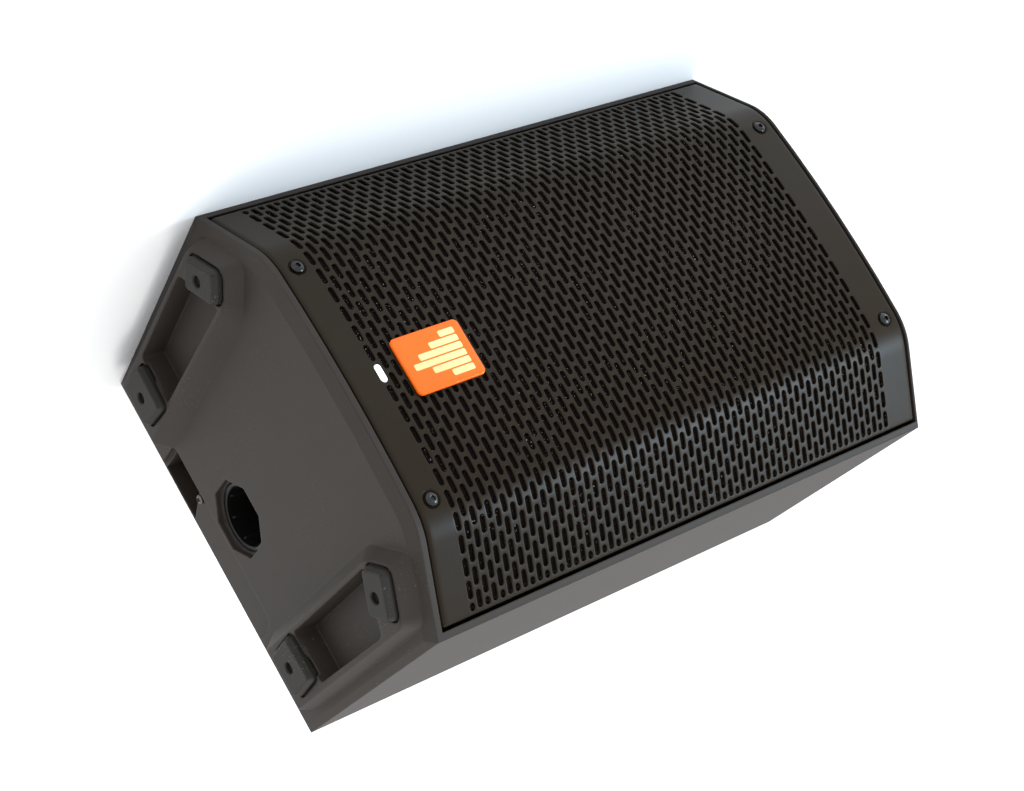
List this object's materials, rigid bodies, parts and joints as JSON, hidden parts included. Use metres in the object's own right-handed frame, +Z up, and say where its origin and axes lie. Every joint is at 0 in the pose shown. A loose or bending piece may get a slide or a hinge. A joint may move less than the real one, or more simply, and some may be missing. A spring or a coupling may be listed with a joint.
{
  "type": "stage monitor loudspeaker",
  "caption": "Moulded two-way powered loudspeaker with a slotted steel front, feet and a pole socket, lying on its side wall as a floor monitor.",
  "frame": {"origin": "centre of the bounding box on the floor under the side wall that the cabinet lies on", "axes": "+X towards the lower end with the feet and pole socket, -Y out of the front, +Z up"},
  "size_m": [0.4184, 0.2352, 0.2789],
  "materials": {
    "moulded_plastic": "fine grained moulded black plastic",
    "black_steel": "black powder coat, satin",
    "rubber": "black rubber, matt",
    "black_screw": "black oxide steel, semi-gloss",
    "zinc_steel": "bright zinc plate",
    "grille_foam": "open cell foam, black",
    "badge_orange": "orange under a clear glossy dome",
    "light_pipe": "clear moulded plastic, lit white",
    "ferrite": "dark grey ferrite",
    "coil_copper": "enamelled copper winding",
    "cone_paper": "black coated paper",
    "spider_cloth": "resin treated cloth",
    "panel_paint": "dark grey painted steel",
    "black_aluminium": "black anodised aluminium",
    "glossy_plastic": "black nylon, semi-gloss",
    "circuit_board": "green solder mask",
    "lead_jacket": "red vinyl jacket"
  },
  "bodies": {
    "housing": {"cabinet": "moulded_plastic", "foot_1": "rubber", "foot_screw_1": "black_screw", "foot_2": "rubber", "foot_screw_2": "black_screw", "foot_3": "rubber", "foot_screw_3": "black_screw", "foot_4": "rubber", "foot_screw_4": "black_screw", "pole_socket": "moulded_plastic", "rear_edge_screw": "zinc_steel", "grille": "black_steel", "grille_foam": "grille_foam", "grille_screw_1": "black_screw", "grille_screw_2": "black_screw", "grille_screw_3": "black_screw", "grille_screw_4": "black_screw", "badge": "badge_orange", "power_light": "light_pipe", "front_baffle": "moulded_plastic", "woofer_basket": "black_steel", "woofer_top_plate": "zinc_steel", "woofer_magnet": "ferrite", "woofer_yoke": "zinc_steel", "woofer_surround": "rubber", "woofer_spider": "spider_cloth", "woofer_screw_1": "black_screw", "woofer_screw_2": "black_screw", "woofer_screw_3": "black_screw", "woofer_screw_4": "black_screw", "horn": "moulded_plastic", "horn_driver": "black_steel", "port_tube_1": "moulded_plastic", "port_tube_2": "moulded_plastic", "rear_panel": "panel_paint", "panel_screw_1": "black_screw", "panel_screw_2": "black_screw", "panel_screw_3": "black_screw", "panel_screw_4": "black_screw", "heatsink": "black_aluminium", "input_socket_1": "glossy_plastic", "input_socket_2": "glossy_plastic", "switch_frame": "glossy_plastic", "mains_inlet": "glossy_plastic", "amplifier_board": "circuit_board", "woofer_lead": "lead_jacket", "horn_lead": "lead_jacket", "carry_handle": "rubber"},
    "knob_1": {"knob_1": "glossy_plastic"},
    "knob_2": {"knob_2": "glossy_plastic"},
    "knob_3": {"knob_3": "glossy_plastic"},
    "knob_4": {"knob_4": "glossy_plastic"},
    "rocker": {"power_rocker": "glossy_plastic"},
    "button_1": {"push_button_1": "glossy_plastic"},
    "button_2": {"push_button_2": "glossy_plastic"},
    "latch_1": {"socket_latch_1": "zinc_steel"},
    "latch_2": {"socket_latch_2": "zinc_steel"},
    "cone": {"woofer_cone": "cone_paper", "dust_cap": "cone_paper", "voice_coil": "coil_copper"}
  },
  "joints": [
    {"name": "knob_1_turn", "type": "hinge", "parent": "housing", "child": "knob_1", "pos_m": [-0.12315, 0.10056, 0.17881], "axis": [0, 0.9962, -0.0875], "range_deg": [-150, 150]},
    {"name": "knob_2_turn", "type": "hinge", "parent": "housing", "child": "knob_2", "pos_m": [-0.12315, 0.09741, 0.14295], "axis": [0, 0.9962, -0.0875], "range_deg": [-150, 150]},
    {"name": "knob_3_turn", "type": "hinge", "parent": "housing", "child": "knob_3", "pos_m": [-0.12315, 0.09426, 0.10709], "axis": [0, 0.9962, -0.0875], "range_deg": [-150, 150]},
    {"name": "knob_4_turn", "type": "hinge", "parent": "housing", "child": "knob_4", "pos_m": [-0.12315, 0.09111, 0.07123], "axis": [0, 0.9962, -0.0875], "range_deg": [-150, 150]},
    {"name": "rocker_tip", "type": "hinge", "parent": "housing", "child": "rocker", "pos_m": [0.03785, 0.09916, 0.16287], "axis": [1, 0, 0], "range_deg": [0, 18]},
    {"name": "button_1_press", "type": "slide", "parent": "housing", "child": "button_1", "axis": [0, -0.9962, 0.0875], "range_m": [0, 0.0015], "stiffness_N_per_m": 300},
    {"name": "button_2_press", "type": "slide", "parent": "housing", "child": "button_2", "axis": [0, -0.9962, 0.0875], "range_m": [0, 0.0015], "stiffness_N_per_m": 300},
    {"name": "latch_1_press", "type": "slide", "parent": "housing", "child": "latch_1", "axis": [0, -0.9962, 0.0875], "range_m": [0, 0.0015], "stiffness_N_per_m": 300},
    {"name": "latch_2_press", "type": "slide", "parent": "housing", "child": "latch_2", "axis": [0, -0.9962, 0.0875], "range_m": [0, 0.0015], "stiffness_N_per_m": 300},
    {"name": "cone_travel", "type": "slide", "parent": "housing", "child": "cone", "axis": [0, -0.9962, 0.0875], "range_m": [-0.003, 0.003], "stiffness_N_per_m": 1500, "deforming": ["woofer_surround", "woofer_spider"]}
  ]
}
